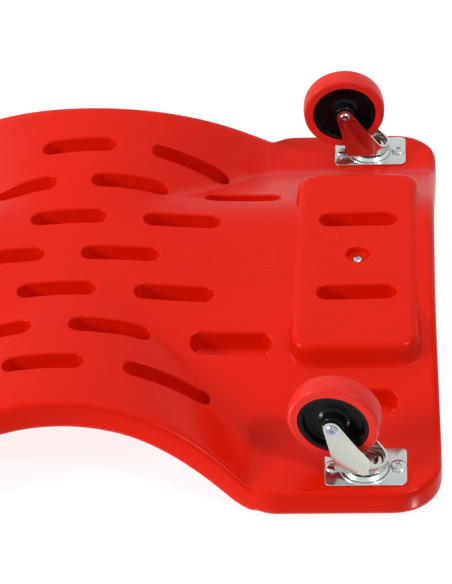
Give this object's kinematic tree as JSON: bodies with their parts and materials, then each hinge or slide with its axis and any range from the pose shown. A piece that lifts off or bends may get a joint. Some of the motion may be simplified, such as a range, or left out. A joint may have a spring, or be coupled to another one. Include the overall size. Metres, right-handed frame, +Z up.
{
  "type": "mechanic creeper",
  "caption": "Low contoured mechanic's creeper: moulded deck with stiffening slots, arm cut-outs and tool trays, padded headrest, and swivel casters on plates.",
  "frame": {"origin": "on the floor below the middle of the deck", "axes": "+X towards the headrest end, +Y to the left of a person lying on it, +Z up from the floor"},
  "size_m": [1.016, 0.48, 0.1136],
  "materials": {
    "deck": "satin moulded polyethylene, slight orange peel",
    "board": "plain plywood",
    "cushion": "grained vinyl over foam",
    "bright_steel": "bright zinc plated",
    "plate": "bright zinc plated",
    "fork": "matte zinc plated",
    "axle": "blued zinc",
    "hub": "moulded, satin gloss",
    "tyre": "cast polyurethane, satin"
  },
  "bodies": {
    "creeper": {"deck": "deck", "headrest_board": "board", "headrest_cushion": "cushion", "headrest_screw": "bright_steel", "plate_screws": "bright_steel", "head_left_plate": "plate", "head_left_race_balls": "bright_steel", "head_left_kingpin": "bright_steel", "head_right_plate": "plate", "head_right_race_balls": "bright_steel", "head_right_kingpin": "bright_steel", "mid_left_plate": "plate", "mid_left_race_balls": "bright_steel", "mid_left_kingpin": "bright_steel", "mid_right_plate": "plate", "mid_right_race_balls": "bright_steel", "mid_right_kingpin": "bright_steel", "foot_left_plate": "plate", "foot_left_race_balls": "bright_steel", "foot_left_kingpin": "bright_steel", "foot_right_plate": "plate", "foot_right_race_balls": "bright_steel", "foot_right_kingpin": "bright_steel"},
    "head_left_caster": {"head_left_fork": "fork", "head_left_axle": "axle", "head_left_bush": "bright_steel"},
    "head_left_wheel": {"head_left_hub": "hub", "head_left_tyre": "tyre"},
    "head_right_caster": {"head_right_fork": "fork", "head_right_axle": "axle", "head_right_bush": "bright_steel"},
    "head_right_wheel": {"head_right_hub": "hub", "head_right_tyre": "tyre"},
    "mid_left_caster": {"mid_left_fork": "fork", "mid_left_axle": "axle", "mid_left_bush": "bright_steel"},
    "mid_left_wheel": {"mid_left_hub": "hub", "mid_left_tyre": "tyre"},
    "mid_right_caster": {"mid_right_fork": "fork", "mid_right_axle": "axle", "mid_right_bush": "bright_steel"},
    "mid_right_wheel": {"mid_right_hub": "hub", "mid_right_tyre": "tyre"},
    "foot_left_caster": {"foot_left_fork": "fork", "foot_left_axle": "axle", "foot_left_bush": "bright_steel"},
    "foot_left_wheel": {"foot_left_hub": "hub", "foot_left_tyre": "tyre"},
    "foot_right_caster": {"foot_right_fork": "fork", "foot_right_axle": "axle", "foot_right_bush": "bright_steel"},
    "foot_right_wheel": {"foot_right_hub": "hub", "foot_right_tyre": "tyre"}
  },
  "joints": [
    {"name": "head_left_swivel", "type": "hinge", "parent": "creeper", "child": "head_left_caster", "pos_m": [0.448, 0.21, 0.08], "axis": [0, 0, 1], "continuous": true},
    {"name": "head_left_roll", "type": "hinge", "parent": "head_left_caster", "child": "head_left_wheel", "pos_m": [0.42549, 0.20635, 0.037], "axis": [-0.1599, 0.9871, 0], "continuous": true},
    {"name": "head_right_swivel", "type": "hinge", "parent": "creeper", "child": "head_right_caster", "pos_m": [0.448, -0.21, 0.08], "axis": [0, 0, 1], "continuous": true},
    {"name": "head_right_roll", "type": "hinge", "parent": "head_right_caster", "child": "head_right_wheel", "pos_m": [0.42525, -0.20849, 0.037], "axis": [0.0663, 0.9978, 0], "continuous": true},
    {"name": "mid_left_swivel", "type": "hinge", "parent": "creeper", "child": "mid_left_caster", "pos_m": [0, 0.21, 0.08], "axis": [0, 0, 1], "continuous": true},
    {"name": "mid_left_roll", "type": "hinge", "parent": "mid_left_caster", "child": "mid_left_wheel", "pos_m": [-0.02271, 0.21199, 0.037], "axis": [0.0872, 0.9962, 0], "continuous": true},
    {"name": "mid_right_swivel", "type": "hinge", "parent": "creeper", "child": "mid_right_caster", "pos_m": [0, -0.21, 0.08], "axis": [0, 0, 1], "continuous": true},
    {"name": "mid_right_roll", "type": "hinge", "parent": "mid_right_caster", "child": "mid_right_wheel", "pos_m": [-0.02263, -0.21278, 0.037], "axis": [-0.1219, 0.9925, 0], "continuous": true},
    {"name": "foot_left_swivel", "type": "hinge", "parent": "creeper", "child": "foot_left_caster", "pos_m": [-0.448, 0.21, 0.08], "axis": [0, 0, 1], "continuous": true},
    {"name": "foot_left_roll", "type": "hinge", "parent": "foot_left_caster", "child": "foot_left_wheel", "pos_m": [-0.47074, 0.20841, 0.037], "axis": [-0.0698, 0.9976, 0], "continuous": true},
    {"name": "foot_right_swivel", "type": "hinge", "parent": "creeper", "child": "foot_right_caster", "pos_m": [-0.448, -0.21, 0.08], "axis": [0, 0, 1], "continuous": true},
    {"name": "foot_right_roll", "type": "hinge", "parent": "foot_right_caster", "child": "foot_right_wheel", "pos_m": [-0.47058, -0.20683, 0.037], "axis": [0.1392, 0.9903, 0], "continuous": true}
  ]
}
